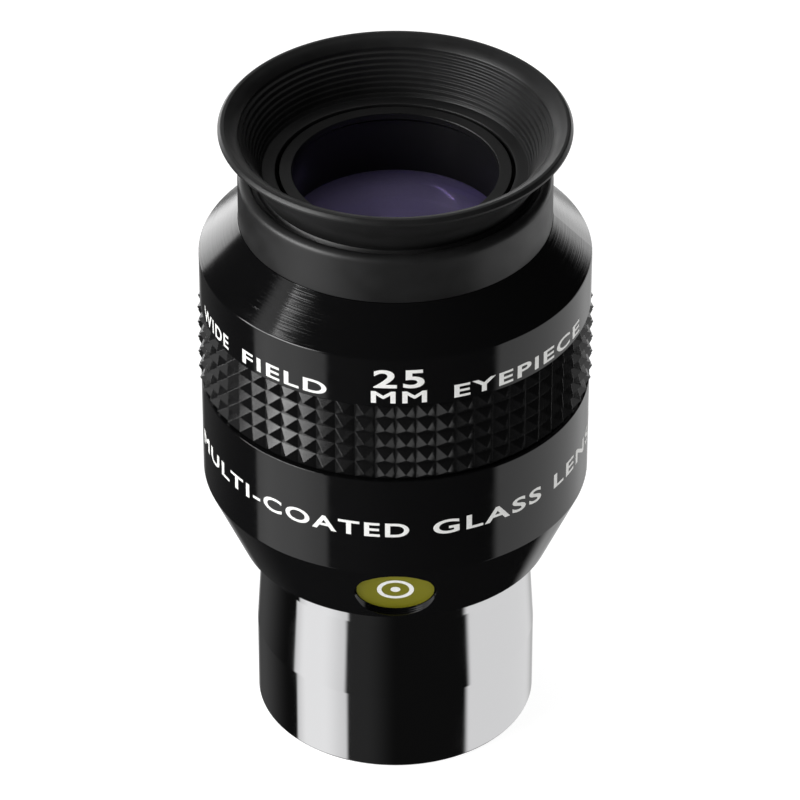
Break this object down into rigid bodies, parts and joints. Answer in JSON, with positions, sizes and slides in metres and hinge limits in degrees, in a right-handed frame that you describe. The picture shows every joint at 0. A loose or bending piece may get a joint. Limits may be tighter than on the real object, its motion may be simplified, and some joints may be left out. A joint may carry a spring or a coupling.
{
  "type": "telescope eyepiece",
  "caption": "Sealed wide-field eyepiece for 1.25 inch focusers: chrome nosepiece, gloss black housing, rubber grip ring of small pyramids, purge plug and fold-down rubber eyecup.",
  "frame": {"origin": "centre of the nosepiece's open end, which the eyepiece stands on", "axes": "+Z along the optical axis, from the nosepiece towards the eye; the purge plug faces -Y"},
  "size_m": [0.0438, 0.0438, 0.077],
  "materials": {
    "chrome_nosepiece": "polished chrome plate",
    "black_housing": "gloss black",
    "black_inner_metal": "satin black anodised",
    "matte_black_metal": "matt black",
    "grip_rubber": "semi-gloss moulded rubber",
    "eyecup_rubber": "matt moulded rubber",
    "seal_rubber": "satin",
    "screw_steel": "blackened",
    "coated_glass": "polished, anti-reflection coated",
    "olive_label": "satin olive green"
  },
  "bodies": {
    "eyepiece": {"nosepiece_barrel": "chrome_nosepiece", "field_stop_ring": "matte_black_metal", "lower_housing": "black_housing", "upper_housing": "black_housing", "housing_seal": "seal_rubber", "housing_lock_screws": "screw_steel", "grip_ring": "grip_rubber", "purge_plug": "black_inner_metal", "purge_plug_label": "olive_label", "purge_plug_seal": "seal_rubber", "lens_cell": "black_inner_metal", "lens_cell_seal": "seal_rubber", "eye_crown_lens": "coated_glass", "eye_flint_lens": "coated_glass", "upper_spacer": "matte_black_metal", "middle_lens": "coated_glass", "lower_spacer": "matte_black_metal", "field_flint_lens": "coated_glass", "field_crown_lens": "coated_glass", "field_lens_seal": "seal_rubber", "field_lens_retainer": "matte_black_metal", "eye_lens_retainer": "matte_black_metal", "eye_lens_seal": "seal_rubber", "eyecup_collar": "eyecup_rubber", "eyecup_skirt": "eyecup_rubber"},
    "eyecup_rim": {"eyecup_rim": "eyecup_rubber"}
  },
  "joints": [
    {"name": "eyecup_fold", "type": "slide", "parent": "eyepiece", "child": "eyecup_rim", "axis": [0, 0, -1], "range_m": [0, 0.0105], "deforming": ["eyecup_skirt"]}
  ]
}
